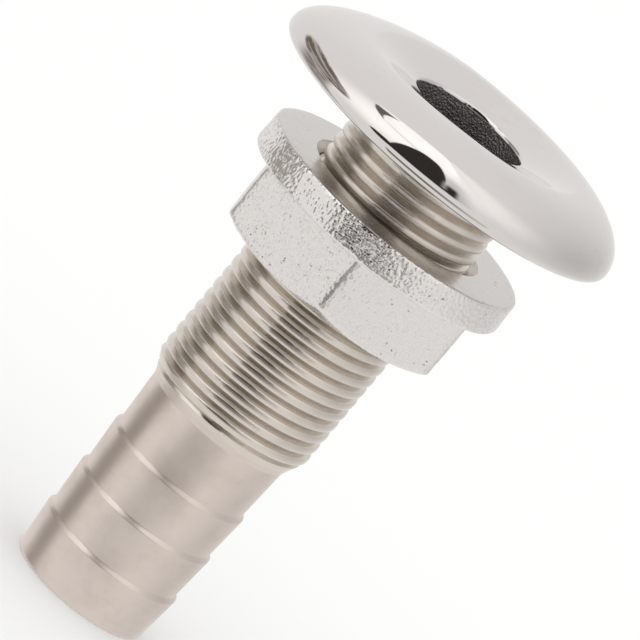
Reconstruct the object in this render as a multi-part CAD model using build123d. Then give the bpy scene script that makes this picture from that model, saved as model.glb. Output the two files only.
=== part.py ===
from build123d import *

import os
from math import cos, radians, sin, tan

# A 3/4 in mushroom-head thru-hull fitting in cast stainless steel, with its flanged backing nut.
# The body is one casting: a domed head, a threaded shank and a barbed hose tail round one water bore.
# The nut is one casting too. It screws along the shank, so it turns and travels at once, and a joint
# tree carries those two motions one after the other. That is why it is two nodes: the round flange
# travels, and the hexagon with the thread turns on it.
# Frame: Z is the bore axis, +Z points outboard through the head, and z = 0 is the seat under the head.
# Millimetres throughout. The nut rests with a hexagon corner towards -Y.

# Water bore, as cast
BORE_R = 8.0

# Mushroom head
HEAD_R = 24.7
RIM_HEIGHT = 1.05
RIM_UNDERCUT = 1.4
CREST_R = 15.6
HEAD_HEIGHT = 6.65
DOME_FULLNESS = 0.55
RIM_FULLNESS = 0.6
LIP_R = 8.4
LIP_HEIGHT = 5.0
LIP_DROP = 0.7
LIP_FULLNESS = 0.86
DISH_EASE = 0.14
DISH_SWEEP = 0.36
DISH_LIFT = 0.37

# Shank: a plain collar, then a G 5/8 pipe thread with tumbled, broadly rounded crests
THREAD_MAJOR_R = 22.911 / 2
THREAD_PITCH = 25.4 / 14
THREAD_FLANK_DEG = 27.5
THREAD_CREST_RADIUS = 0.60
THREAD_DEPTH = 0.90
THREAD_START_DEG = 140.0
COLLAR_R = 11.5
COLLAR_LENGTH = 2.0
COLLAR_FILLET = 0.4
THREAD_END = 41.0
RUNOUT_LENGTH = 3.0
RUNOUT_R = 10.0

# Hose tail, for a hose of 19 mm bore
NECK_LENGTH = 7.4
BARB_COUNT = 3
BARB_PITCH = 6.65
BARB_CREST_R = 10.05
BARB_ROOT_R = 9.6
BARB_SHOULDER = 0.5
TAIL_TIP_R = 9.45
TAIL_TIP_LENGTH = 6.6
TAIL_ROUND = 0.5
TAIL_BORE_CHAMFER = 0.3

# Backing nut
NUT_DROP = 9.15
FLANGE_THICKNESS = 4.15
FLANGE_TOP_R = 18.65
FLANGE_BOTTOM_R = 18.75
FLANGE_ROUND = 0.45
HEX_HEIGHT = 9.05
HEX_ACROSS_FLATS = 31.1
HEX_CHAMFER_DEG = 30.0
HEX_CHAMFER_INSET = 0.15
COUNTERSINK_R = 12.7
NUT_THREAD_CUT_BACK = 0.245

# Clearances
THREAD_CLEARANCE = 0.12
FLANGE_BORE_CLEARANCE = 0.145
NODE_GAP = 0.05
RIDGE_SUNK = 0.08
TOOL_MARGIN = 1.0
TAP_OVERRUN = 1.1 * THREAD_PITCH

THREAD_ROOT_R = THREAD_MAJOR_R - THREAD_DEPTH
SHANK_FOOT = THREAD_END + RUNOUT_LENGTH
FIRST_BARB = SHANK_FOOT + NECK_LENGTH + BARB_SHOULDER
TAIL_END = FIRST_BARB + (BARB_COUNT - 1) * BARB_PITCH + TAIL_TIP_LENGTH
NUT_BORE_R = THREAD_ROOT_R + NUT_THREAD_CUT_BACK
HEX_TOP = NUT_DROP + FLANGE_THICKNESS
NUT_FOOT = HEX_TOP + HEX_HEIGHT


def turned(*edges):
    """Return the solid that a closed outline in the XZ half plane sweeps round Z."""
    return revolve(Plane.XZ * make_face(edges), Axis.Z)


def chain(*points):
    """Return straight outline edges through the points."""
    return Polyline(*points)


def disc_tool(radius, top, foot):
    """Return a plain cylinder on Z between two heights."""
    return Pos(0, 0, foot) * Cylinder(
        radius, top - foot, align=(Align.CENTER, Align.CENTER, Align.MIN)
    )


def thread_half_width(radius):
    """Return half the thread ridge's axial width at a radius on its straight flank."""
    flank = radians(THREAD_FLANK_DEG)
    shoulder_r = THREAD_MAJOR_R - THREAD_CREST_RADIUS * (1 - sin(flank))
    return THREAD_CREST_RADIUS * cos(flank) + (shoulder_r - radius) * tan(flank)


def threaded_rod(offset, root_r, top, foot):
    """Return a rod with the helical thread ridge on it, the ridge grown by offset all round.

    The same rod, a little larger, taps the nut. The rod and its ridge are joined before they are
    turned to their phase, so that they always meet the same way.
    """
    crest_centre = THREAD_MAJOR_R - THREAD_CREST_RADIUS
    crest = THREAD_CREST_RADIUS + offset
    flank = radians(THREAD_FLANK_DEG)
    shoulder_r = crest_centre + crest * sin(flank)
    shoulder_half = crest * cos(flank)
    sunk_r = root_r - RIDGE_SUNK
    sunk_half = thread_half_width(sunk_r) + offset / cos(flank)
    section = make_face(
        [
            Polyline(
                (shoulder_r, -shoulder_half),
                (sunk_r, -sunk_half),
                (sunk_r, sunk_half),
                (shoulder_r, shoulder_half),
            ),
            ThreePointArc(
                (shoulder_r, shoulder_half),
                (crest_centre + crest, 0),
                (shoulder_r, -shoulder_half),
            ),
        ]
    )
    path = Helix(THREAD_PITCH, top - foot, THREAD_ROOT_R)
    ridge = sweep(Plane.XZ * section, path=path, is_frenet=True)
    rod = disc_tool(root_r, top - foot, -THREAD_PITCH) + ridge
    phase = THREAD_START_DEG + 360 * foot / THREAD_PITCH
    return Pos(0, 0, foot) * Rot(0, 0, phase) * rod


def head():
    """Return the mushroom head: a dome with a rounded rim, dished into a rounded bore lip."""
    seat_edge = (HEAD_R - RIM_UNDERCUT, 0)
    rim = (HEAD_R, RIM_HEIGHT)
    crest = (CREST_R, HEAD_HEIGHT)
    lip = (LIP_R, LIP_HEIGHT)
    bore_top = (BORE_R, LIP_HEIGHT - LIP_DROP)
    rise, run = HEAD_HEIGHT - RIM_HEIGHT, HEAD_R - CREST_R
    fall, dish = HEAD_HEIGHT - LIP_HEIGHT, CREST_R - LIP_R
    return turned(
        chain(bore_top, (0, LIP_HEIGHT - LIP_DROP), (0, 0), seat_edge),
        Bezier(
            seat_edge,
            (HEAD_R - (1 - RIM_FULLNESS) * RIM_UNDERCUT, 0),
            (HEAD_R, (1 - RIM_FULLNESS) * RIM_HEIGHT),
            rim,
        ),
        Bezier(
            rim,
            (HEAD_R, RIM_HEIGHT + DOME_FULLNESS * rise),
            (CREST_R + DOME_FULLNESS * run, HEAD_HEIGHT),
            crest,
        ),
        Bezier(
            crest,
            (CREST_R - DISH_EASE * dish, HEAD_HEIGHT),
            (LIP_R + DISH_SWEEP * dish, LIP_HEIGHT + DISH_LIFT * fall),
            lip,
        ),
        Bezier(lip, (BORE_R, LIP_HEIGHT - (1 - LIP_FULLNESS) * LIP_DROP), bore_top),
    )


def shank():
    """Return the threaded shank with its run-out cone, under a plain collar flared into the head."""
    rod = threaded_rod(0, THREAD_ROOT_R, -COLLAR_LENGTH / 2, -SHANK_FOOT - THREAD_PITCH)
    beyond_r = COLLAR_R + TOOL_MARGIN
    cone_top = -SHANK_FOOT + RUNOUT_LENGTH * (beyond_r - RUNOUT_R) / (THREAD_MAJOR_R - RUNOUT_R)
    envelope = turned(
        chain(
            (0, 0),
            (beyond_r, 0),
            (beyond_r, cone_top),
            (RUNOUT_R, -SHANK_FOOT),
            (0, -SHANK_FOOT),
            (0, 0),
        )
    )
    flare_r = COLLAR_R + COLLAR_FILLET
    collar = turned(
        chain(
            (COLLAR_R, -COLLAR_FILLET),
            (COLLAR_R, -COLLAR_LENGTH),
            (0, -COLLAR_LENGTH),
            (0, COLLAR_FILLET),
            (flare_r, COLLAR_FILLET),
            (flare_r, 0),
        ),
        RadiusArc((flare_r, 0), (COLLAR_R, -COLLAR_FILLET), -COLLAR_FILLET),
    )
    return (rod & envelope) + collar


def hose_tail():
    """Return the neck and the barbs, whose shoulders face the head."""
    outline = [(0, -SHANK_FOOT), (RUNOUT_R, -SHANK_FOOT)]
    outline.append((BARB_ROOT_R, -FIRST_BARB + BARB_SHOULDER))
    for barb in range(BARB_COUNT):
        crest_z = -FIRST_BARB - barb * BARB_PITCH
        outline.append((BARB_CREST_R, crest_z))
        if barb < BARB_COUNT - 1:
            outline.append((BARB_ROOT_R, crest_z - BARB_PITCH + BARB_SHOULDER))
    tip_round = (TAIL_TIP_R - TAIL_ROUND, -TAIL_END)
    outline.append((TAIL_TIP_R, -TAIL_END + TAIL_ROUND))
    return turned(
        chain(*outline),
        RadiusArc(outline[-1], tip_round, TAIL_ROUND),
        chain(tip_round, (0, -TAIL_END), outline[0]),
    )


def thru_hull_body():
    """Return the one-piece body, bored right through."""
    bore = disc_tool(BORE_R, HEAD_HEIGHT + TOOL_MARGIN, -TAIL_END - TOOL_MARGIN)
    mouth_r = BORE_R + TAIL_BORE_CHAMFER
    mouth = turned(
        chain((0, -TAIL_END), (mouth_r, -TAIL_END), (0, -TAIL_END + mouth_r), (0, -TAIL_END))
    )
    return shank() + hose_tail() + head() - bore - mouth


def nut_flange():
    """Return the nut's round flange, countersunk where the shank enters."""
    foot = -HEX_TOP + NODE_GAP
    bore_r = THREAD_MAJOR_R + FLANGE_BORE_CLEARANCE
    countersink_foot = -NUT_DROP - (COUNTERSINK_R - bore_r)
    ring = turned(
        chain(
            (bore_r, foot),
            (FLANGE_BOTTOM_R, foot),
            (FLANGE_TOP_R, -NUT_DROP),
            (COUNTERSINK_R, -NUT_DROP),
            (bore_r, countersink_foot),
            (bore_r, foot),
        )
    )
    rim = ring.edges().filter_by(GeomType.CIRCLE).sort_by(lambda edge: edge.radius)[-2:]
    return fillet(rim, FLANGE_ROUND)


def nut_hex():
    """Return the nut's hexagon with the internal thread that runs on the shank."""
    corner_r = HEX_ACROSS_FLATS / 2 / cos(radians(30))
    hexagon = RegularPolygon(HEX_ACROSS_FLATS / 2, 6, major_radius=False, rotation=30)
    prism = Pos(0, 0, -NUT_FOOT) * extrude(hexagon, HEX_HEIGHT)
    beyond_r = corner_r + TOOL_MARGIN
    chamfer_r = HEX_ACROSS_FLATS / 2 - HEX_CHAMFER_INSET
    chamfer_rise = (beyond_r - chamfer_r) * tan(radians(HEX_CHAMFER_DEG))
    blank = turned(
        chain(
            (0, -NUT_FOOT),
            (chamfer_r, -NUT_FOOT),
            (beyond_r, -NUT_FOOT + chamfer_rise),
            (beyond_r, -HEX_TOP),
            (0, -HEX_TOP),
            (0, -NUT_FOOT),
        )
    )
    top, foot = -HEX_TOP + TAP_OVERRUN, -NUT_FOOT - TAP_OVERRUN
    tap = threaded_rod(THREAD_CLEARANCE, NUT_BORE_R, top, foot)
    return (prism & blank) - tap


os.makedirs("parts", exist_ok=True)
for name, solid in {
    "thru_hull_body": thru_hull_body(),
    "nut_flange": nut_flange(),
    "nut_hex": nut_hex(),
}.items():
    export_step(solid, f"parts/{name}.step")
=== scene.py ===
"""A mushroom-head thru-hull fitting in stainless steel, with its flanged backing nut on the thread.

Metres throughout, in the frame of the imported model: Z is the bore axis, +Z points outboard through
the head, and z = 0 is the seat under the head. The body and the nut are one casting each.
"""

import logging
import math
from abc import ABC, abstractmethod
from dataclasses import dataclass, field
from enum import IntEnum
from typing import Callable, Optional, Union

import bmesh
import bpy
from mathutils import Matrix, Vector, noise
from mathutils.geometry import interpolate_bezier


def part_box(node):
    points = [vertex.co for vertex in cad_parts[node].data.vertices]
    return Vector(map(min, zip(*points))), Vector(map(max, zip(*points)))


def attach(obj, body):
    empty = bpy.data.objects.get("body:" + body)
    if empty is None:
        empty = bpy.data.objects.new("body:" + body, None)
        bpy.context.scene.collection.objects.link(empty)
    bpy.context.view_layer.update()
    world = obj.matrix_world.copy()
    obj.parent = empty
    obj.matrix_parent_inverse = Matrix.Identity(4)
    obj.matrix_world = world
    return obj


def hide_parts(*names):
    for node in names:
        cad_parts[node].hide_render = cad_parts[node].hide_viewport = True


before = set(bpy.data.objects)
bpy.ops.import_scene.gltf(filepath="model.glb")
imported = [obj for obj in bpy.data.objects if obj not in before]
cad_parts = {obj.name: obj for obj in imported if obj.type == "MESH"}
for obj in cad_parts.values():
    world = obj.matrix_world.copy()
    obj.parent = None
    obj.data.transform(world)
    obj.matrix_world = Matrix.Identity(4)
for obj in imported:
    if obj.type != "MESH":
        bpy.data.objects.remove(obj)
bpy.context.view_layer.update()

MM = 0.001
TURN = math.tau
WELD = 0.0005 * MM
WHITE = (1.0, 1.0, 1.0)
log = logging.getLogger("thru_hull")

Colour = tuple[float, float, float]
Reading = Union["Signal", float, int]


# Shader writing


class Signal:
    """A number that varies over a surface: a shader socket whose operators add Math nodes."""

    def __init__(self, sheet: "NodeSheet", socket: bpy.types.NodeSocket) -> None:
        """Keep the node sheet and the socket that gives the number."""
        self.sheet = sheet
        self.socket = socket

    def _math(self, operation: str, *values: Reading) -> "Signal":
        """Return the result of one Math node on the values."""
        return self.sheet.number("ShaderNodeMath", {"operation": operation}, dict(enumerate(values)))

    def __add__(self, other: Reading) -> "Signal":
        """Return self + other."""
        return self._math("ADD", self, other)

    def __radd__(self, other: Reading) -> "Signal":
        """Return other + self."""
        return self._math("ADD", other, self)

    def __sub__(self, other: Reading) -> "Signal":
        """Return self - other."""
        return self._math("SUBTRACT", self, other)

    def __rsub__(self, other: Reading) -> "Signal":
        """Return other - self."""
        return self._math("SUBTRACT", other, self)

    def __mul__(self, other: Reading) -> "Signal":
        """Return self * other."""
        return self._math("MULTIPLY", self, other)

    def __rmul__(self, other: Reading) -> "Signal":
        """Return other * self."""
        return self._math("MULTIPLY", other, self)

    def __truediv__(self, other: Reading) -> "Signal":
        """Return self / other."""
        return self._math("DIVIDE", self, other)

    def __rtruediv__(self, other: Reading) -> "Signal":
        """Return other / self."""
        return self._math("DIVIDE", other, self)

    def __pow__(self, other: Reading) -> "Signal":
        """Return self to the power of other."""
        return self._math("POWER", self, other)

    def __neg__(self) -> "Signal":
        """Return minus self."""
        return self._math("MULTIPLY", self, -1.0)

    def __abs__(self) -> "Signal":
        """Return self without its sign."""
        return self._math("ABSOLUTE", self)

    def sine(self) -> "Signal":
        """Return the sine of self, in radians."""
        return self._math("SINE", self)

    def at_least(self, other: Reading) -> "Signal":
        """Return the larger of self and other."""
        return self._math("MAXIMUM", self, other)

    def at_most(self, other: Reading) -> "Signal":
        """Return the smaller of self and other."""
        return self._math("MINIMUM", self, other)

    def rise(self, low: float, high: float) -> "Signal":
        """Return a smooth step from 0 to 1 between two readings, or from 1 to 0 where high is below low.

        Args:
            low: the reading at which the step starts from 0.
            high: the reading at which it reaches 1.

        Returns:
            The step, held at its end values outside.
        """
        first, last = (0.0, 1.0) if low < high else (1.0, 0.0)
        return self.sheet.number(
            "ShaderNodeMapRange",
            {"interpolation_type": "SMOOTHSTEP", "clamp": True},
            {
                "Value": self,
                "From Min": min(low, high),
                "From Max": max(low, high),
                "To Min": first,
                "To Max": last,
            },
        )

    def bump_at(self, centre: float, half_width: float) -> "Signal":
        """Return a soft hill, 1 at the centre and 0 beyond the half width.

        Args:
            centre: the reading at the top of the hill.
            half_width: the distance from there to the hill's foot.

        Returns:
            The hill.
        """
        return abs(self - centre).rise(half_width, 0.0)


class NodeSheet:
    """The node tree of one material or world, written node by node."""

    def __init__(self, tree: bpy.types.NodeTree) -> None:
        """Empty the tree and keep it."""
        tree.nodes.clear()
        self.tree = tree

    def node(
        self, kind: str, settings: Optional[dict] = None, sockets: Optional[dict] = None
    ) -> bpy.types.Node:
        """Add one node.

        Args:
            kind: the node's type.
            settings: attributes, which are set first.
            sockets: values or links, by the socket's identifier, name or number.

        Returns:
            The node.
        """
        made = self.tree.nodes.new(kind)
        for name, value in (settings or {}).items():
            setattr(made, name, value)
        for key, value in (sockets or {}).items():
            socket = self.pick(made.inputs, key)
            source = value.socket if isinstance(value, Signal) else value
            if isinstance(source, bpy.types.NodeSocket):
                self.tree.links.new(source, socket)
            elif isinstance(source, tuple) and len(source) == 3 and socket.type == "RGBA":
                socket.default_value = (*source, 1.0)
            else:
                socket.default_value = source
        return made

    @staticmethod
    def pick(sockets: bpy.types.bpy_prop_collection, key: Union[str, int]) -> bpy.types.NodeSocket:
        """Return the socket with that identifier, name or number."""
        named = {socket.identifier: socket for socket in sockets}
        return named[key] if key in named else sockets[key]

    def number(
        self, kind: str, settings: Optional[dict] = None, sockets: Optional[dict] = None
    ) -> Signal:
        """Add one node and return its first shown output as a signal."""
        made = self.node(kind, settings, sockets)
        return Signal(self, next(output for output in made.outputs if output.enabled))

    def object_place(self) -> bpy.types.NodeSocket:
        """Return the Object coordinates, which on every piece are metres in the model's frame."""
        return self.node("ShaderNodeTexCoord").outputs["Object"]

    def axes(self, place: bpy.types.NodeSocket) -> tuple[Signal, Signal, Signal]:
        """Return the three parts of a vector."""
        parts = self.node("ShaderNodeSeparateXYZ", None, {0: place}).outputs
        return Signal(self, parts[0]), Signal(self, parts[1]), Signal(self, parts[2])

    def stretched(self, place: bpy.types.NodeSocket, scale: Colour) -> bpy.types.NodeSocket:
        """Return a vector scaled by three factors."""
        return self.node("ShaderNodeMapping", None, {"Vector": place, "Scale": scale}).outputs[0]

    def grain(
        self, place: bpy.types.NodeSocket, size: float, detail: float = 2.0, roughness: float = 0.5
    ) -> Signal:
        """Return fractal noise.

        Args:
            place: the coordinates that the noise reads.
            size: the size of one lump, in metres.
            detail: octaves of finer noise.
            roughness: the share of each finer octave.

        Returns:
            The noise, about 0.5 on average.
        """
        return self.number(
            "ShaderNodeTexNoise",
            {"noise_dimensions": "3D"},
            {"Vector": place, "Scale": 1.0 / size, "Detail": detail, "Roughness": roughness},
        )

    def cells(self, place: bpy.types.NodeSocket, size: float, smoothness: float) -> Signal:
        """Return rounded cell distances, 0 at each cell's middle.

        Args:
            place: the coordinates that the cells read.
            size: the size of one cell, in metres.
            smoothness: how far neighbouring cells melt together, from 0 to 1.

        Returns:
            The distance to the nearest cell's middle.
        """
        return self.number(
            "ShaderNodeTexVoronoi",
            {"feature": "SMOOTH_F1"},
            {"Vector": place, "Scale": 1.0 / size, "Smoothness": smoothness},
        )

    def blend(self, share: Reading, first: object, second: object) -> bpy.types.NodeSocket:
        """Mix two colours.

        Args:
            share: 0 for the first colour, 1 for the second.
            first: a colour or a colour socket.
            second: a colour or a colour socket.

        Returns:
            The mixed colour's socket.
        """
        made = self.node(
            "ShaderNodeMix",
            {"data_type": "RGBA", "clamp_factor": True},
            {"Factor_Float": share, "A_Color": first, "B_Color": second},
        )
        return self.pick(made.outputs, "Result_Color")

    def relief(
        self, height: Signal, distance: float, under: Optional[bpy.types.NodeSocket] = None
    ) -> bpy.types.NodeSocket:
        """Return a normal raised by a height.

        Args:
            height: the height, in units of the distance.
            distance: the depth that a height of 1 stands for, in metres.
            under: a normal that this relief lies on.

        Returns:
            The normal's socket.
        """
        sockets: dict = {"Height": height, "Distance": distance, "Strength": 1.0}
        if under is not None:
            sockets["Normal"] = under
        return self.node("ShaderNodeBump", None, sockets).outputs["Normal"]

    def metal(
        self,
        colour: bpy.types.NodeSocket,
        roughness: Signal,
        normal: bpy.types.NodeSocket,
        extra: Optional[dict] = None,
    ) -> bpy.types.Node:
        """Add a metallic shader.

        Args:
            colour: the metal's colour.
            roughness: its roughness.
            normal: its normal.
            extra: values of any other sockets.

        Returns:
            The shader node.
        """
        sockets = {"Base Color": colour, "Metallic": 1.0, "Roughness": roughness, "Normal": normal}
        return self.node("ShaderNodeBsdfPrincipled", None, {**sockets, **(extra or {})})


# Finishes


@dataclass(frozen=True)
class Finish(ABC):
    """A finish that can be given to a surface."""

    name: str

    def material(self) -> bpy.types.Material:
        """Return a new material with this finish."""
        made = bpy.data.materials.new(self.name)
        made.use_nodes = True
        sheet = NodeSheet(made.node_tree)
        shader = self.coat(sheet)
        sheet.node("ShaderNodeOutputMaterial", None, {"Surface": shader.outputs[0]})
        return made

    @abstractmethod
    def coat(self, sheet: NodeSheet) -> bpy.types.Node:
        """Write the finish on a node sheet and return its shader node."""


@dataclass(frozen=True)
class MirrorPolish(Finish):
    """Buffed stainless steel: a mirror with faint haze and the last fine buffing lines."""

    tone: Colour = (0.745, 0.722, 0.712)
    worn_tone: Colour = (0.700, 0.674, 0.660)
    roughness: float = 0.045
    haze: float = 0.05
    cloud_size: float = 9 * MM
    smear_size: float = 2.4 * MM
    hairline_size: float = 0.16 * MM
    hairline_roughness: float = 0.012
    wave_depth: float = 0.0132 * MM
    hairline_depth: float = 0.000264 * MM

    def coat(self, sheet: NodeSheet) -> bpy.types.Node:
        """Write the polish: ripple and hairlines in the normal, haze in the roughness.

        Args:
            sheet: the material's node sheet.

        Returns:
            The shader node.
        """
        place = sheet.object_place()
        cloud = sheet.grain(place, self.cloud_size, 3.0)
        smear = sheet.grain(sheet.stretched(place, (1.0, 1.0, 5.0)), self.smear_size, 4.0, 0.6)
        hairlines = sheet.grain(sheet.stretched(place, (1.0, 0.25, 2.2)), self.hairline_size, 2.0)
        haze = cloud.rise(0.50, 0.72) * smear.rise(0.45, 0.70)
        scratched = self.hairline_roughness * hairlines.rise(0.55, 0.70)
        rough = self.roughness + self.haze * haze + scratched
        waves = sheet.relief(cloud, self.wave_depth)
        normal = sheet.relief(hairlines, self.hairline_depth, waves)
        return sheet.metal(sheet.blend(haze * 0.8, self.tone, self.worn_tone), rough, normal)


@dataclass(frozen=True)
class LatheTurned(Finish):
    """Stainless steel as the lathe leaves it: fine rings, and a silky sheen across them."""

    tone: Colour = (0.74, 0.665, 0.615)
    dull_tone: Colour = (0.65, 0.575, 0.525)
    roughness: float = 0.28
    anisotropy: float = 0.60
    sheen_turn: float = 0.25
    ring_pitch: float = 0.11 * MM
    ring_depth: float = 0.0030 * MM
    groove_size: float = 0.13 * MM
    stain: float = 0.5
    stain_size: float = 4.5 * MM
    knock_size: float = 0.8 * MM
    knock_depth: float = 0.008 * MM

    def coat(self, sheet: NodeSheet) -> bpy.types.Node:
        """Write the rings, the faint stains and the handling marks.

        Args:
            sheet: the material's node sheet.

        Returns:
            The shader node.
        """
        place = sheet.object_place()
        _, _, z = sheet.axes(place)
        wander = sheet.grain(place, 6 * MM, 2.0)
        feed = (z * (TURN / self.ring_pitch) + wander * 2.0).sine() * 0.5 + 0.5
        along = sheet.stretched(place, (0.06, 0.06, 1.0))
        rings = sheet.grain(along, self.groove_size, 3.0, 0.6)
        patches = sheet.grain(place, self.stain_size, 4.0, 0.62)
        knocks = sheet.grain(place, self.knock_size, 2.0).rise(0.68, 0.78)
        dull = patches.rise(0.42, 0.70) * self.stain + rings.rise(0.50, 0.80) * 0.35
        rough = self.roughness + 0.08 * patches.rise(0.35, 0.75) + 0.06 * rings
        normal = sheet.relief(feed * 0.5 + rings, self.ring_depth)
        normal = sheet.relief(knocks * -1.0 + patches * 0.6, self.knock_depth, normal)
        sheen = {"Anisotropic": self.anisotropy, "Anisotropic Rotation": self.sheen_turn}
        return sheet.metal(sheet.blend(dull, self.tone, self.dull_tone), rough, normal, sheen)


@dataclass(frozen=True)
class RawCasting(Finish):
    """Blasted investment casting: a fine bright pebble with pits, and painted shade: a darker colour
    laid in the pits and the hollows between the lumps.
    """

    tone: Colour = (0.83, 0.81, 0.80)
    shaded_hollow_tone: Colour = (0.22, 0.20, 0.185)
    roughness: float = 0.20
    pebble: float = 0.50 * MM
    pebble_depth: float = 0.048 * MM
    grit_depth: float = 0.014 * MM
    hollow_shade_share: float = 0.06
    swell_size: float = 1.1 * MM
    grit_size: float = 0.16 * MM
    pit_size: float = 0.55 * MM
    patch_size: float = 5.0 * MM

    def coat(self, sheet: NodeSheet) -> bpy.types.Node:
        """Write the pebble, the grit on it, the pits, and the painted shade in the pits and hollows.

        Args:
            sheet: the material's node sheet.

        Returns:
            The shader node.
        """
        place = sheet.object_place()
        lumps = sheet.cells(place, self.pebble, 0.6).rise(0.75, 0.05)
        swell = sheet.grain(place, self.swell_size, 3.0, 0.55)
        grit = sheet.grain(place, self.grit_size, 3.0, 0.65)
        patches = sheet.grain(place, self.patch_size, 3.0, 0.6)
        pits = sheet.grain(place, self.pit_size, 2.0, 0.5).rise(0.66, 0.74)
        pits = pits * patches.rise(0.45, 0.62)
        # painted shade: the pits and the hollows between the lumps are darkened towards the hollow tone
        hollow = pits * 0.9 + (1.0 - lumps) * grit.rise(0.52, 0.70) * self.hollow_shade_share
        rough = self.roughness + 0.16 * grit + 0.25 * pits
        normal = sheet.relief(lumps + swell * 1.4 - pits * 1.2, self.pebble_depth)
        normal = sheet.relief(grit, self.grit_depth, normal)
        return sheet.metal(sheet.blend(hollow, self.tone, self.shaded_hollow_tone), rough, normal)


@dataclass(frozen=True)
class StudioPaper(Finish):
    """The pale seamless paper that the fitting stands on."""

    tone: Colour = (0.90, 0.90, 0.895)
    tooth_tone: Colour = (0.86, 0.86, 0.855)
    tooth_size: float = 2.0 * MM

    def coat(self, sheet: NodeSheet) -> bpy.types.Node:
        """Write the paper's faint tooth.

        Args:
            sheet: the material's node sheet.

        Returns:
            The shader node.
        """
        tooth = sheet.grain(sheet.object_place(), self.tooth_size, 2.0)
        return sheet.node(
            "ShaderNodeBsdfPrincipled",
            None,
            {
                "Base Color": sheet.blend(tooth * 0.15, self.tone, self.tooth_tone),
                "Roughness": 0.9,
                "Specular IOR Level": 0.0,
            },
        )


@dataclass(frozen=True)
class FlagCloth(Finish):
    """Grey cloth that glows a little, darker at its left edge than at its right."""

    left: float = 0.0
    right: float = 1.0
    dark: Colour = (0.23, 0.215, 0.20)
    light: Colour = (0.66, 0.64, 0.62)
    dark_reach: float = 20 * MM

    def coat(self, sheet: NodeSheet) -> bpy.types.Node:
        """Write the cloth's even fall from dark to light.

        Args:
            sheet: the material's node sheet.

        Returns:
            The shader node.
        """
        x, _, _ = sheet.axes(sheet.object_place())
        middle = (self.left + self.right) / 2
        tone = sheet.blend(x.rise(middle - self.dark_reach, self.right), self.dark, self.light)
        return sheet.node("ShaderNodeEmission", None, {"Color": tone})


# Turning and threading


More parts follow.
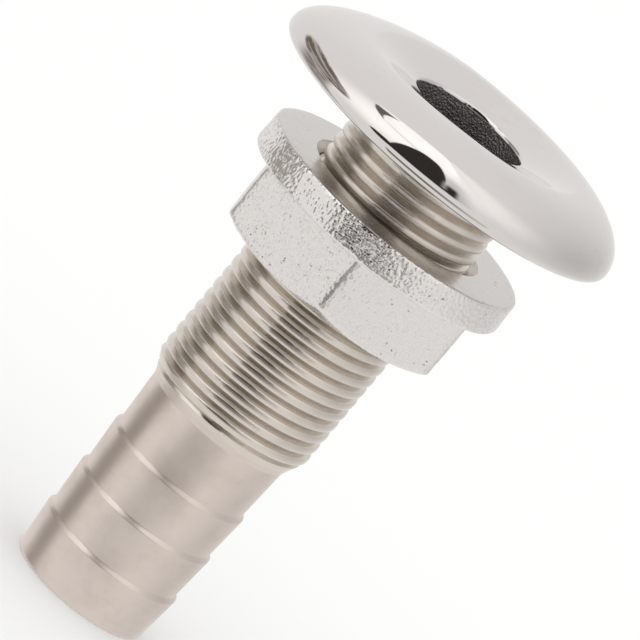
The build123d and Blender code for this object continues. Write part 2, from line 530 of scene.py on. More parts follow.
class Lathe:
    """A bmesh that outlines are turned into, in the XZ half plane and round Z."""

    def __init__(self, columns: int) -> None:
        """Start an empty mesh with so many columns to a turn."""
        self.columns = columns
        self.mesh = bmesh.new()

    def outline(self, points: list[tuple]) -> None:
        """Draw a wire outline and round its corners.

        Args:
            points: (radius, height) or (radius, height, corner cut, corner segments) in metres.
        """
        verts = [self.mesh.verts.new((point[0], 0.0, point[1])) for point in points]
        for first, second in zip(verts, verts[1:]):
            self.mesh.edges.new((first, second))
        for vert, point in zip(verts, points):
            if len(point) == 4 and point[2] > 0:
                bmesh.ops.bevel(
                    self.mesh,
                    geom=[vert],
                    offset=point[2],
                    offset_type="OFFSET",
                    segments=point[3],
                    profile=0.5,
                    affect="VERTICES",
                    material=-1,
                    clamp_overlap=True,
                )

    def turn(self, rise: float = 0.0) -> None:
        """Spin everything drawn so far through a full turn, as a ring or as a turn of a helix.

        Args:
            rise: the rise in one turn, in metres; a ring has none, and closes.
        """
        wire = [*self.mesh.verts, *self.mesh.edges]
        bmesh.ops.spin(
            self.mesh,
            geom=wire,
            cent=(0.0, 0.0, 0.0),
            axis=(0.0, 0.0, 1.0),
            dvec=(0.0, 0.0, rise / self.columns),
            angle=TURN,
            steps=self.columns,
            use_merge=rise == 0.0,
        )

    def screw(self, pitch: float, turns: int) -> None:
        """Spin everything drawn so far up a right-handed helix, and weld the turns together.

        Args:
            pitch: the rise of one turn, in metres.
            turns: the number of turns.
        """
        self.turn(pitch)
        one_turn = [*self.mesh.verts, *self.mesh.edges, *self.mesh.faces]
        for turn in range(1, turns):
            copy = bmesh.ops.duplicate(self.mesh, geom=one_turn)["geom"]
            moved = [part for part in copy if isinstance(part, bmesh.types.BMVert)]
            bmesh.ops.translate(self.mesh, verts=moved, vec=(0.0, 0.0, pitch * turn))
        bmesh.ops.remove_doubles(self.mesh, verts=self.mesh.verts, dist=WELD)

    def trim(self, top: float, foot: float) -> None:
        """Cut away everything above one height and below another.

        Args:
            top: the upper height, in metres.
            foot: the lower height, in metres.
        """
        for height, direction in ((top, 1.0), (foot, -1.0)):
            bmesh.ops.bisect_plane(
                self.mesh,
                geom=[*self.mesh.verts, *self.mesh.edges, *self.mesh.faces],
                dist=0.0001 * MM,
                plane_co=(0.0, 0.0, height),
                plane_no=(0.0, 0.0, direction),
                clear_outer=True,
                clear_inner=False,
            )

    def move(self, rule: Callable[[Vector], Vector]) -> None:
        """Move every vertex to where a rule puts it.

        Args:
            rule: gives a vertex's new place from its old one.
        """
        for vert in self.mesh.verts:
            vert.co = rule(vert.co)

    def join(self, other: "Lathe") -> None:
        """Take over another lathe's mesh.

        Args:
            other: the lathe, which can't be used afterwards.
        """
        carried = bpy.data.meshes.new("carried")
        other.mesh.to_mesh(carried)
        other.mesh.free()
        self.mesh.from_mesh(carried)
        bpy.data.meshes.remove(carried)

    def fill_ring(self, height: float, reach: float = 0.02 * MM) -> None:
        """Fill the flat ring between the two open loops that lie at one height.

        Args:
            height: the loops' height, in metres.
            reach: how far a loop's vertex may lie from that height.
        """
        rims = [
            edge
            for edge in self.mesh.edges
            if edge.is_boundary and all(abs(vert.co.z - height) < reach for vert in edge.verts)
        ]
        for edge in rims:
            for vert in edge.verts:
                vert.co.z = height
        bmesh.ops.triangle_fill(self.mesh, use_beauty=True, edges=rims, normal=(0.0, 0.0, 1.0))

    def finish(
        self,
        name: str,
        materials: list[bpy.types.Material],
        zone: Callable[[Vector, Vector], int],
        crease_deg: float,
    ) -> bpy.types.Object:
        """Close the mesh, give each face its finish and make the piece.

        Args:
            name: the piece's name.
            materials: the finishes, in the order of their zones.
            zone: gives a face's finish from its middle and its normal.
            crease_deg: edges sharper than this many degrees stay crisp.

        Returns:
            The piece, at the origin.
        """
        bmesh.ops.remove_doubles(self.mesh, verts=self.mesh.verts, dist=WELD)
        bmesh.ops.recalc_face_normals(self.mesh, faces=self.mesh.faces)
        self.mesh.normal_update()
        crease = math.radians(crease_deg)
        for face in self.mesh.faces:
            face.smooth = True
            face.material_index = zone(face.calc_center_median(), face.normal)
        for edge in self.mesh.edges:
            edge.smooth = not edge.is_manifold or edge.calc_face_angle(0.0) < crease
        loose = sum(1 for edge in self.mesh.edges if not edge.is_manifold)
        data = bpy.data.meshes.new(name)
        self.mesh.to_mesh(data)
        self.mesh.free()
        for material in materials:
            data.materials.append(material)
        piece = bpy.data.objects.new(name, data)
        bpy.context.scene.collection.objects.link(piece)
        triangles = sum(len(polygon.vertices) - 2 for polygon in data.polygons)
        log.info("%s: %d triangles, %d open edges", name, triangles, loose)
        return piece


def curve(start: tuple, leave: tuple, arrive: tuple, end: tuple, count: int) -> list[tuple]:
    """Return points on a cubic curve in the (radius, height) plane, without its first point.

    Args:
        start: the first point.
        leave: the handle at the first point.
        arrive: the handle at the last point.
        end: the last point.
        count: the number of points returned.

    Returns:
        The points.
    """
    corners = [Vector((point[0], point[1], 0.0)) for point in (start, leave, arrive, end)]
    return [(point.x, point.y) for point in interpolate_bezier(*corners, count + 1)[1:]]


def ladder(start: tuple, end: tuple, count: int) -> list[tuple]:
    """Return evenly spaced points on a straight line, without its first point.

    Args:
        start: the first point.
        end: the last point.
        count: the number of points returned.

    Returns:
        The points.
    """
    first, last = Vector(start[:2]), Vector(end[:2])
    return [tuple(first.lerp(last, step / count)) for step in range(1, count + 1)]


def with_radius(place: Vector, radius: float) -> Vector:
    """Return a point moved straight out or in to a radius."""
    scale = radius / max(math.hypot(place.x, place.y), 1e-9)
    return Vector((place.x * scale, place.y * scale, place.z))


def ease(value: float, low: float, high: float) -> float:
    """Return a smooth step from 0 at low to 1 at high."""
    share = min(max((value - low) / (high - low), 0.0), 1.0)
    return share * share * (3.0 - 2.0 * share)


@dataclass(frozen=True)
class PipeThread:
    """The G 5/8 thread with broadly rounded crests that the shank and the nut share."""

    major_radius: float = 22.911 / 2 * MM
    pitch: float = 25.4 / 14 * MM
    crown_radius: float = 1.15 * MM
    crown_half_deg: float = 20.0
    shoulder_radius: float = 0.26 * MM
    depth: float = 0.90 * MM
    flank_deg: float = 27.5
    start_deg: float = 140.0
    crown_segments: int = 4
    shoulder_segments: int = 4

    @property
    def root_radius(self) -> float:
        """Return the radius at the bottom of the groove."""
        return self.major_radius - self.depth

    def wind(self, columns: int, top: float, foot: float, clearance: float, root: float) -> Lathe:
        """Wind the thread's surface between two heights, and a little beyond each.

        Args:
            columns: the number of columns to a turn.
            top: the upper height, in metres.
            foot: the lower height, in metres.
            clearance: how far the surface stands off the thread's own.
            root: the radius of the groove's floor.

        Returns:
            A lathe that holds the open surface.
        """
        flank = math.radians(self.flank_deg)
        half_crown = math.radians(self.crown_half_deg)
        half_bend = (math.pi / 2 - flank - half_crown) / 2
        crown = self.crown_radius + clearance
        shoulder = self.shoulder_radius + clearance
        middle = self.major_radius - self.crown_radius
        apex = middle + crown / math.cos(half_crown)
        inset = self.crown_radius - self.shoulder_radius
        reach = shoulder / math.cos(half_bend)
        edge = middle + inset * math.cos(half_crown) + reach * math.cos(half_crown + half_bend)
        half_edge = inset * math.sin(half_crown) + reach * math.sin(half_crown + half_bend)
        half_root = half_edge + (edge - root) * math.tan(flank)
        first_crest = -self.pitch * self.start_deg / 360.0
        lowest = first_crest + self.pitch * math.floor((foot - first_crest) / self.pitch - 1.0)
        turns = math.ceil((top - lowest) / self.pitch) + 1
        lathe = Lathe(columns)
        lathe.outline(
            [
                (root, lowest - self.pitch / 2),
                (root, lowest - half_root),
                (edge, lowest - half_edge, shoulder * math.tan(half_bend), self.shoulder_segments),
                (apex, lowest, crown * math.tan(half_crown), self.crown_segments),
                (edge, lowest + half_edge, shoulder * math.tan(half_bend), self.shoulder_segments),
                (root, lowest + half_root),
                (root, lowest + self.pitch / 2),
            ]
        )
        lathe.screw(self.pitch, turns)
        return lathe


# The body


class BodyZone(IntEnum):
    """The finishes of the body, by the place on it."""

    HEAD = 0
    THREAD = 1
    TAIL = 2
    BORE = 3


@dataclass
class ThruHullBody:
    """The one-piece body: domed head, collar, threaded shank and barbed hose tail round one bore."""

    head_radius: float
    head_height: float
    tail_end: float
    thread: PipeThread = field(default_factory=PipeThread)
    bore_radius: float = 8.0 * MM
    rim_height: float = 1.05 * MM
    rim_undercut: float = 1.4 * MM
    rim_fullness: float = 0.6
    crest_radius: float = 15.6 * MM
    dome_fullness: float = 0.55
    lip_radius: float = 8.4 * MM
    lip_height: float = 5.0 * MM
    lip_drop: float = 0.7 * MM
    lip_reach: float = 0.28 * MM
    lip_sink: float = 0.05 * MM
    lip_turn: float = 0.25 * MM
    dish_ease: float = 0.14
    dish_sweep: float = 0.36
    dish_lift: float = 0.37
    polish_loss: float = 1.35 * MM
    collar_radius: float = 11.5 * MM
    collar_foot: float = -2.0 * MM
    collar_fillet: float = 0.4 * MM
    shank_foot: float = -44.0 * MM
    runout_length: float = 3.0 * MM
    runout_radius: float = 10.0 * MM
    barb_crests: tuple[float, ...] = (-65.2 * MM, -58.55 * MM, -51.9 * MM)
    barb_crest_radius: float = 10.05 * MM
    barb_root_radius: float = 9.6 * MM
    barb_shoulder: float = 0.5 * MM
    barb_edge: float = 0.07 * MM
    tip_radius: float = 9.45 * MM
    tip_round: float = 0.5 * MM
    mouth_chamfer: float = 0.3 * MM
    mouth_edge: float = 0.06 * MM
    tail_top: float = 0.9 * MM
    bore_roughness: float = 0.10 * MM
    bore_lump: float = 2.3 * MM
    bore_knob: float = 0.9 * MM
    smooth_entry: float = 3.0 * MM
    smooth_exit: float = 1.0 * MM
    ragged_lip: float = 0.5 * MM
    ragged_size: float = 1.1 * MM
    columns: int = 144

    def head_outline(self) -> list[tuple]:
        """Return the outline from the collar's foot, over the head, to the bore's upper mouth."""
        seat_edge = (self.head_radius - self.rim_undercut, 0.0)
        rim = (self.head_radius, self.rim_height)
        crest = (self.crest_radius, self.head_height)
        lip = (self.lip_radius, self.lip_height)
        mouth = (self.bore_radius, self.lip_height - self.lip_drop)
        rise = self.head_height - self.rim_height
        run = self.head_radius - self.crest_radius
        fall = self.head_height - self.lip_height
        dish = self.crest_radius - self.lip_radius
        points: list[tuple] = [
            (self.collar_radius, self.collar_foot),
            (self.collar_radius, 0.0, self.collar_fillet, 4),
        ]
        points += ladder((self.collar_radius + 2 * self.collar_fillet, 0.0), seat_edge, 8)
        points += curve(
            seat_edge,
            (self.head_radius - (1.0 - self.rim_fullness) * self.rim_undercut, 0.0),
            (self.head_radius, (1.0 - self.rim_fullness) * self.rim_height),
            rim,
            8,
        )
        points += curve(
            rim,
            (self.head_radius, self.rim_height + self.dome_fullness * rise),
            (self.crest_radius + self.dome_fullness * run, self.head_height),
            crest,
            34,
        )
        points += curve(
            crest,
            (self.crest_radius - self.dish_ease * dish, self.head_height),
            (self.lip_radius + self.dish_sweep * dish, self.lip_height + self.dish_lift * fall),
            lip,
            18,
        )
        points += curve(
            lip,
            (self.lip_radius - self.lip_reach, self.lip_height - self.lip_sink),
            (self.bore_radius, self.lip_height - self.lip_turn),
            mouth,
            6,
        )
        return points

    def tail_outline(self) -> list[tuple]:
        """Return the outline from the bore's upper mouth, down the bore and up the hose tail."""
        top = (self.bore_radius, self.lip_height - self.lip_drop)
        foot = (self.bore_radius, self.tail_end + self.mouth_chamfer)
        points = ladder(top, foot, 80)
        points.append((self.bore_radius + self.mouth_chamfer, self.tail_end, self.mouth_edge, 2))
        points.append((self.tip_radius, self.tail_end, self.tip_round, 6))
        for crest in self.barb_crests:
            points.append((self.barb_crest_radius, crest, self.barb_edge, 3))
            points.append((self.barb_root_radius, crest + self.barb_shoulder, self.barb_edge, 2))
        points.append((self.runout_radius, self.shank_foot))
        return points

    def run_out(self, place: Vector) -> Vector:
        """Return a point of the thread held inside the cone that ends it.

        Args:
            place: the point.

        Returns:
            The point, moved straight in where it stood outside the cone.
        """
        slope = (self.thread.major_radius - self.runout_radius) / self.runout_length
        limit = self.runout_radius + slope * (place.z - self.shank_foot)
        radius = math.hypot(place.x, place.y)
        return with_radius(place, min(radius, max(limit, self.runout_radius)))

    def by_hand(self, place: Vector) -> Vector:
        """Return a point as hand buffing and casting leave it: a thinner side, and a rough bore.

        Args:
            place: the point.

        Returns:
            The moved point.
        """
        radius = math.hypot(place.x, place.y)
        if place.z > 0 and radius > self.bore_radius * 0.99:
            side = ease(-place.x - 0.15 * place.y, 0.0, self.head_radius)
            height = place.z / self.head_height
            place = Vector((place.x, place.y, place.z - self.polish_loss * side * height))
        if radius < self.bore_radius * 1.01:
            depth = ease(place.z, self.lip_height, self.lip_height - self.smooth_entry)
            ends = ease(place.z, self.tail_end, self.tail_end + self.smooth_exit)
            lump = noise.noise(place / self.bore_lump) + 0.5 * noise.noise(place / self.bore_knob)
            radius += self.bore_roughness * max(depth, 0.3) * ends * min(lump, 0.8)
            place = with_radius(place, radius)
        return place

    def zone(self, middle: Vector, _normal: Vector) -> int:
        """Return the finish of a face.

        Args:
            middle: the face's middle.
            _normal: its normal, which no finish of the body depends on.

        Returns:
            The finish's number.
        """
        radius = math.hypot(middle.x, middle.y)
        if radius < self.bore_radius + 0.15 * MM:
            ragged = self.ragged_lip * noise.noise(middle / self.ragged_size)
            inside = middle.z < self.lip_height - self.lip_drop + ragged
            return BodyZone.BORE if inside else BodyZone.HEAD
        if middle.z < self.shank_foot + self.tail_top:
            return BodyZone.TAIL
        if radius < self.collar_radius + 0.2 * MM and middle.z < 0:
            return BodyZone.THREAD
        return BodyZone.HEAD

    def build(self) -> bpy.types.Object:
        """Build the body and give it its finishes, body and slot.

        Returns:
            The piece that stands for the body's CAD node.
        """
        lathe = Lathe(self.columns)
        lathe.outline(self.head_outline() + self.tail_outline())
        lathe.turn()
        shank = self.thread.wind(
            self.columns, self.collar_foot, self.shank_foot, 0.0, self.thread.root_radius
        )
        shank.move(self.run_out)
        shank.trim(self.collar_foot, self.shank_foot)
        lathe.join(shank)
        lathe.fill_ring(self.collar_foot)
        lathe.fill_ring(self.shank_foot)
        lathe.move(self.by_hand)
        piece = lathe.finish("fitting_body", self.finishes(), self.zone, 32.0)
        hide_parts("thru_hull_body")
        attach(piece, "fitting")
        return piece

    @staticmethod
    def finishes() -> list[bpy.types.Material]:
        """Return the body's materials in the order of BodyZone."""
        return [
            MirrorPolish("mirror_polished_head").material(),
            LatheTurned(
                "cut_thread",
                tone=(0.73, 0.685, 0.63),
                dull_tone=(0.56, 0.52, 0.465),
                roughness=0.15,
                anisotropy=0.80,
                stain=0.25,
            ).material(),
            LatheTurned("turned_tail").material(),
            # Dark cast bore; half its grit is laid as painted shade in the hollows.
            RawCasting(
                "rough_bore",
                tone=(0.30, 0.29, 0.28),
                shaded_hollow_tone=(0.14, 0.135, 0.13),
                roughness=0.45,
                pebble=0.34 * MM,
                pebble_depth=0.06 * MM,
                hollow_shade_share=0.5,
            ).material(),
        ]


# The nut


class NutZone(IntEnum):
    """The finishes of the nut, by the place on it."""

    CAST = 0
    SEAT = 1
    THREAD = 2
    RIM = 3


@dataclass
class BackingNut:
    """The cast backing nut: a round flange and a chamfered hexagon on one threaded bore."""

    top: float
    flange_foot: float
    foot: float
    across_flats: float
    thread: PipeThread = field(default_factory=PipeThread)
    flange_top_radius: float = 18.65 * MM
    flange_foot_radius: float = 18.75 * MM
    flange_round: float = 0.35 * MM
    corner_round: float = 0.5 * MM
    chamfer_deg: float = 30.0
    chamfer_inset: float = 0.15 * MM
    countersink_radius: float = 12.7 * MM
    mouth_radius: float = 12.0 * MM
    thread_clearance: float = 0.12 * MM
    bore_radius: float = 10.83 * MM
    mouth_land: float = 0.10 * MM
    swell: float = 0.07 * MM
    swell_size: float = 4.5 * MM
    ripple_size: float = 1.8 * MM
    pebble: float = 0.020 * MM
    pebble_size: float = 0.62 * MM
    machined_share: float = 0.15
    rim_margin: float = 0.8 * MM
    columns: int = 288
    thread_columns: int = 144

    @property
    def corner_radius(self) -> float:
        """Return the radius of the hexagon's sharp corners."""
        return self.across_flats / 2 / math.cos(math.pi / 6)

    @property
    def chamfer_radius(self) -> float:
        """Return the radius at which the chamfer leaves the nut's foot."""
        return self.across_flats / 2 - self.chamfer_inset

    def crease(self, radius: float) -> float:
        """Return the height at which the chamfer cuts a radius."""
        return self.foot + (radius - self.chamfer_radius) * math.tan(math.radians(self.chamfer_deg))

    def hexagon(self, angle: float) -> float:
        """Return the radius of the round-cornered hexagon, one corner of which points to -Y.

        Args:
            angle: the direction round the axis, in radians.

        Returns:
            The radius, in metres.
        """
        sector = math.pi / 3
        off_corner = abs((angle + math.pi / 2 + sector / 2) % sector - sector / 2)
        flat = self.across_flats / 2 / math.cos(sector / 2 - off_corner)
        centre = self.corner_radius - self.corner_round / math.cos(math.pi / 6)
        across = centre * math.sin(off_corner)
        if across >= self.corner_round:
            return flat
        rounded = centre * math.cos(off_corner) + math.sqrt(self.corner_round**2 - across**2)
        return min(flat, rounded)

    def shell_outline(self) -> list[tuple]:
        """Return the outline from the countersink, round the flange, down the hexagon to its foot."""
        corner = self.corner_radius
        crease = self.crease(corner)
        top = self.top
        points: list[tuple] = [(self.countersink_radius, top)]
        margin = self.rim_margin
        points += ladder((self.countersink_radius, top), (self.flange_top_radius - margin, top), 12)
        points.append((self.flange_top_radius, top, self.flange_round, 4))
        points += ladder(
            (self.flange_top_radius, top - margin),
            (self.flange_foot_radius, self.flange_foot + margin),
            8,
        )
        points.append((self.flange_foot_radius, self.flange_foot, self.flange_round * 1.4, 5))
        points.append((corner, self.flange_foot))
        points += ladder((corner, self.flange_foot), (corner, crease), 22)
        points += ladder((corner, crease), (self.chamfer_radius, self.foot), 6)
        points += ladder((self.chamfer_radius, self.foot), (self.mouth_radius, self.foot), 9)
        return points

    def squeeze(self, place: Vector) -> Vector:
        """Return a point of the round blank pressed in to the chamfered hexagon.

        Args:
            place: the point.

        Returns:
            The pressed point; the flange and the nut's foot stay as they are.
        """
        radius = math.hypot(place.x, place.y)
        slack = 0.01 * MM
        if place.z > self.flange_foot + slack or radius < self.chamfer_radius - slack:
            return place
        if place.z > self.flange_foot - slack and radius > self.corner_radius + slack:
            return place
        wall = self.hexagon(math.atan2(place.y, place.x))
        nominal = self.crease(self.corner_radius)
        here = self.crease(wall)
        if radius > self.corner_radius - slack:
            share = (self.flange_foot - place.z) / (self.flange_foot - nominal)
            height = self.flange_foot + share * (here - self.flange_foot)
            pressed = with_radius(place, wall)
        else:
            share = (nominal - place.z) / (nominal - self.foot)
            height = here + share * (self.foot - here)
            pressed = with_radius(place, wall + share * (self.chamfer_radius - wall))
        return Vector((pressed.x, pressed.y, height))

    def open_mouths(self, place: Vector) -> Vector:
        """Return a point of the nut's thread moved out to the countersink at either end.

        Args:
            place: the point.

        Returns:
            The point, with a narrow flat land left round each countersink.
        """
        radius = math.hypot(place.x, place.y)
        upper = self.countersink_radius - self.mouth_land - max(self.top - place.z, 0.0)
        lower = self.mouth_radius - self.mouth_land - max(place.z - self.foot, 0.0)
        return with_radius(place, max(radius, upper, lower))

    def cast(self, lathe: Lathe) -> None:
        """Soften the shell as a casting's edges are, and raise its swells and pebbles.

        Args:
            lathe: the lathe that holds the shell.
        """
        free = [vert for vert in lathe.mesh.verts if not vert.is_boundary]
        for _ in range(2):
            bmesh.ops.smooth_vert(
                lathe.mesh, verts=free, factor=0.5, use_axis_x=True, use_axis_y=True, use_axis_z=True
            )
        lathe.mesh.normal_update()
        moves = []
        for vert in free:
            place = vert.co
            machined = vert.normal.z > 0.8 and place.z > self.top - 0.2 * MM
            amount = self.machined_share if machined else 1.0
            swell = noise.noise(place / self.swell_size)
            swell += 0.5 * noise.noise(place / self.ripple_size)
            lump = noise.noise(place / self.pebble_size)
            moves.append((vert, vert.normal * amount * (self.swell * swell + self.pebble * lump)))
        for vert, move in moves:
            vert.co += move

    def zone(self, middle: Vector, normal: Vector) -> int:
        """Return the finish of a face.

        Args:
            middle: the face's middle.
            normal: its normal.

        Returns:
            The finish's number.
        """
        radius = math.hypot(middle.x, middle.y)
        inner = min(self.countersink_radius - 0.05 * MM, self.mouth_radius + 0.6 * MM)
        inside = self.foot + 0.01 * MM < middle.z < self.top - 0.01 * MM
        if radius < inner and inside:
            return NutZone.THREAD
        if normal.z > 0.85 and middle.z > self.top - 0.3 * MM:
            return NutZone.SEAT
        if middle.z > self.flange_foot + 0.3 * MM and radius > self.corner_radius:
            return NutZone.RIM
        return NutZone.CAST

    def build(self) -> bpy.types.Object:
        """Build the nut and give it its finishes and its body.

        Returns:
            The piece that stands for the nut's two CAD nodes.
        """
        shell = Lathe(self.columns)
        shell.outline(self.shell_outline())
        shell.turn()
        shell.move(self.squeeze)
        self.cast(shell)
        thread = self.thread.wind(
            self.thread_columns, self.top, self.foot, self.thread_clearance, self.bore_radius
        )
        thread.move(self.open_mouths)
        thread.trim(self.top, self.foot)
        shell.join(thread)
        shell.fill_ring(self.top)
        shell.fill_ring(self.foot)
        piece = shell.finish("backing_nut", self.finishes(), self.zone, 40.0)
        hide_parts("nut_flange", "nut_hex")
        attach(piece, "nut")
        return piece

    @staticmethod
    def finishes() -> list[bpy.types.Material]:
        """Return the nut's materials in the order of NutZone."""
        return [
            RawCasting("blasted_nut").material(),
            # The seat's facing is real, but its darker tone is painted shade and painted reflection: it
            # stands for the shade near the shank and the dark shank mirrored in the seat.
            RawCasting(
                "faced_nut_seat_painted_shade",
                tone=(0.64, 0.62, 0.605),
                shaded_hollow_tone=(0.40, 0.38, 0.36),
                roughness=0.10,
                pebble=1.3 * MM,
                pebble_depth=0.012 * MM,
                grit_depth=0.005 * MM,
            ).material(),
            LatheTurned(
                "nut_thread", tone=(0.66, 0.61, 0.56), dull_tone=(0.45, 0.40, 0.36), anisotropy=0.5
            ).material(),
            RawCasting(
                "flange_rim",
                roughness=0.07,
                pebble=0.52 * MM,
                pebble_depth=0.070 * MM,
                grit_depth=0.010 * MM,
            ).material(),
        ]


# The studio


@dataclass
class Studio:
    """The pale floor, the soft room that the steel mirrors, and the camera."""

    floor_height: float
    floor_reach: float = 6.0
    paper_light: float = 1.12
    room_light: float = 1.38
    warm: Colour = (1.0, 0.978, 0.958)
    stand_tone: Colour = (0.115, 0.092, 0.072)
    dark_tone: Colour = (0.028, 0.024, 0.022)
    view_deg: float = -1.5
    lift_deg: float = 13.36
    lean_deg: float = 39.9
    distance: float = 1153.0 * MM
    lens: float = 531.0
    sensor: float = 36.0
    aim: tuple[float, float] = (1.51 * MM, -26.15 * MM)
    flag_distance: float = 80.0 * MM
    flag_left: float = -38.0 * MM
    flag_right: float = 70.0 * MM
    flag_top: float = -20.0 * MM
    flag_foot: float = -62.0 * MM

    @staticmethod
    def sheet(
        name: str, size: tuple[float, float], matrix: Matrix, finish: Finish
    ) -> bpy.types.Object:
        """Make a flat sheet.

        Args:
            name: the sheet's name.
            size: its width and its height, in metres.
            matrix: turns and moves it from the XY plane to its place.
            finish: what it is made of.

        Returns:
            The sheet, at the origin, with its vertices in place.
        """
        mesh = bmesh.new()
        bmesh.ops.create_grid(mesh, x_segments=6, y_segments=6, size=0.5)
        bmesh.ops.scale(mesh, verts=mesh.verts, vec=(*size, 1.0))
        bmesh.ops.transform(mesh, verts=mesh.verts, matrix=matrix)
        data = bpy.data.meshes.new(name)
        mesh.to_mesh(data)
        mesh.free()
        data.materials.append(finish.material())
        made = bpy.data.objects.new(name, data)
        bpy.context.scene.collection.objects.link(made)
        return made

    def lay_floor(self) -> None:
        """Lay the seamless paper under the fitting."""
        span = 2 * self.floor_reach
        matrix = Matrix.Translation((0.0, 0.0, self.floor_height))
        paper = self.sheet("seamless_paper", (span, span), matrix, StudioPaper("studio_paper"))
        paper.visible_glossy = False

    def hang_flag(self) -> None:
        """Hang the grey flag that darkens the front of the thread; only the steel sees it."""
        size = (self.flag_right - self.flag_left, self.flag_top - self.flag_foot)
        x = (self.flag_left + self.flag_right) / 2
        z = (self.flag_top + self.flag_foot) / 2
        upright = Matrix.Rotation(math.pi / 2, 4, "X")
        matrix = Matrix.Translation((x, -self.flag_distance, z)) @ upright
        cloth = FlagCloth("flag_cloth", left=self.flag_left, right=self.flag_right)
        flag = self.sheet("grey_flag", size, matrix, cloth)
        flag.visible_camera = False
        flag.visible_diffuse = False
        flag.visible_shadow = False

    def light_room(self) -> None:
        """Light the scene: plain white for the paper, and for the steel a room with its flags."""
        world = bpy.data.worlds.new("studio_room")
        world.use_nodes = True
        bpy.context.scene.world = world
        world.cycles.sampling_method = "NONE"
        sheet = NodeSheet(world.node_tree)
        rays = sheet.node("ShaderNodeLightPath")
        skies = []
        for colour, strength in ((WHITE, self.paper_light), (self.room_colour(sheet), self.room_light)):
            sockets = {"Color": colour, "Strength": strength}
            skies.append(sheet.node("ShaderNodeBackground", None, sockets).outputs[0])
        choice = {0: rays.outputs["Is Glossy Ray"], 1: skies[0], 2: skies[1]}
        mixed = sheet.node("ShaderNodeMixShader", None, choice)
        sheet.node("ShaderNodeOutputWorld", None, {"Surface": mixed.outputs[0]})

    def room_colour(self, sheet: NodeSheet) -> bpy.types.NodeSocket:
        """Paint the room: a bright wall and ceiling on the left, a dimmer right, a doorway, a stand.

        Every number is an angle in degrees or a share of light. The turn is measured from -Y
        towards +X and the lift from the horizon up.

        Args:
            sheet: the world's node sheet.

        Returns:
            The colour's socket.
        """
        place = sheet.node("ShaderNodeTexCoord").outputs["Generated"]
        x, y, z = sheet.axes(place)
        degrees = 360.0 / TURN
        turn = sheet.number("ShaderNodeMath", {"operation": "ARCTAN2"}, {0: x, 1: -y}) * degrees
        lift = sheet.number("ShaderNodeMath", {"operation": "ARCSINE"}, {0: z}) * degrees

        left = turn.rise(-125.0, -70.0) * turn.rise(45.0, 10.0)
        wall = left * lift.rise(-5.0, 45.0)
        ceiling = turn.rise(-122.0, -112.0) * turn.rise(34.0, 22.0) * lift.rise(60.0, 68.0)
        right_side = turn.bump_at(55.0, 55.0) * lift.rise(5.0, 50.0)
        dim = turn.bump_at(118.0, 75.0) * lift.bump_at(14.0, 60.0)
        light = 0.64 + 0.28 * wall.at_least(ceiling * 1.15) + 0.17 * right_side - 0.19 * dim
        light = light + 0.06 * turn.bump_at(-45.0, 40.0) * lift.rise(0.0, 30.0)

        across = abs((turn + 9.0) / 20.0)
        upward = abs(lift / 63.0)
        arch = (across**3.0 + upward**4.0).rise(1.12, 0.92) * lift.rise(1.5, 3.5)
        ledge = (((turn + 33.0) / 11.0) ** 2.0 + ((lift - 8.0) / 7.0) ** 2.0).rise(1.2, 0.7)
        side_door = turn.rise(8.0, 12.0) * turn.rise(23.0, 18.0)
        side_door = side_door * lift.rise(2.0, 5.0) * lift.rise(34.0, 22.0)
        slit = turn.bump_at(11.0, 3.5) * lift.rise(6.0, 12.0) * lift.rise(36.0, 26.0)
        penumbra = turn.bump_at(16.0, 22.0) * lift.rise(-2.0, 10.0) * lift.rise(62.0, 40.0)
        doorway = arch.at_least(ledge).at_least(side_door) - 0.45 * slit

        streaks = sheet.grain(sheet.stretched(place, (2.0, 2.0, 14.0)), 0.9, 4.0, 0.65)
        cap = (((turn + 104.0) / 35.0) ** 2.0 + ((lift - 25.0) / 14.0) ** 2.0).rise(1.15, 0.75)
        post = turn.rise(-130.0, -106.0) * turn.rise(-77.0, -87.0)
        post = post * lift.rise(26.0, 18.0) * lift.rise(-75.0, -20.0)
        stand = cap.at_least(post * 0.85) * (0.55 + 0.60 * streaks.rise(0.38, 0.60)).at_most(1.0)
        taper = (-60.0 - turn) * 0.10
        drift = abs(lift - 57.0 + (turn + 60.0) * 0.19)
        wedge = (taper - drift).rise(0.0, 0.9) * turn.rise(-112.0, -106.0)
        rail = lift.bump_at(59.0, 4.0) * turn.rise(-70.0, -55.0) * turn.rise(5.0, -15.0)

        lit = sheet.node(
            "ShaderNodeVectorMath",
            {"operation": "SCALE"},
            {0: self.warm, "Scale": light * (1.0 - 0.42 * penumbra) * (1.0 - 0.22 * rail)},
        ).outputs[0]
        with_stand = sheet.blend(stand.at_most(0.97), lit, self.stand_tone)
        return sheet.blend(doorway.at_least(wedge * 0.9), with_stand, self.dark_tone)

    def set_camera(self) -> None:
        """Set the camera down in front, above the seat's height, leaning so that the fitting tilts."""
        turn = math.radians(self.view_deg)
        lift = math.radians(self.lift_deg)
        lean = math.radians(self.lean_deg)
        level = math.cos(lift)
        back = Vector((math.sin(turn) * level, -math.cos(turn) * level, math.sin(lift)))
        right = Vector((math.cos(turn), math.sin(turn), 0.0))
        up = back.cross(right)
        leaning_up = up * math.cos(lean) - right * math.sin(lean)
        leaning_right = right * math.cos(lean) + up * math.sin(lean)
        aim = right * self.aim[0] + Vector((0.0, 0.0, self.aim[1]))
        data = bpy.data.cameras.new("studio_camera")
        data.lens = self.lens
        data.sensor_width = self.sensor
        data.clip_start = 0.05
        data.clip_end = 50.0
        data.dof.use_dof = False
        camera = bpy.data.objects.new("studio_camera", data)
        bpy.context.scene.collection.objects.link(camera)
        turned = Matrix((leaning_right, leaning_up, back)).transposed().to_4x4()
        camera.matrix_world = Matrix.Translation(aim + back * self.distance) @ turned
        bpy.context.scene.camera = camera

    def build(self) -> None:
        """Set up the floor, the light and the camera."""
        self.lay_floor()
        self.hang_flag()
        self.light_room()
        self.set_camera()
        bpy.context.scene.view_settings.view_transform = "Standard"
        log.info("studio: floor at %.1f mm", self.floor_height / MM)


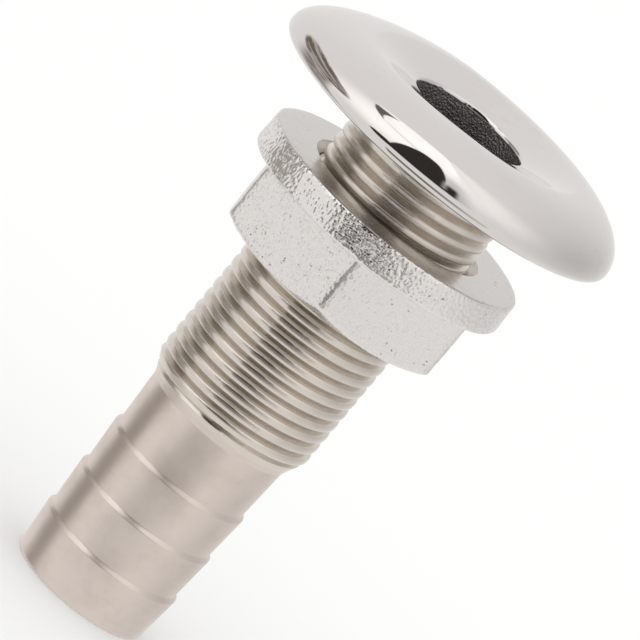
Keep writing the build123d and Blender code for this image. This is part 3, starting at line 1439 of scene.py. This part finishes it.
def main() -> None:
    """Build the body, the nut and the studio."""
    logging.basicConfig(level=logging.INFO, format="%(name)s: %(message)s")
    body_low, body_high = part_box("thru_hull_body")
    flange_low, flange_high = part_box("nut_flange")
    hex_low, hex_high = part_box("nut_hex")
    body = ThruHullBody(head_radius=body_high.x, head_height=body_high.z, tail_end=body_low.z)
    body.build()
    nut = BackingNut(
        top=flange_high.z,
        flange_foot=hex_high.z,
        foot=hex_low.z,
        across_flats=hex_high.x - hex_low.x,
    )
    nut.build()
    Studio(floor_height=body_low.z).build()


if __name__ == "__main__":
    main()
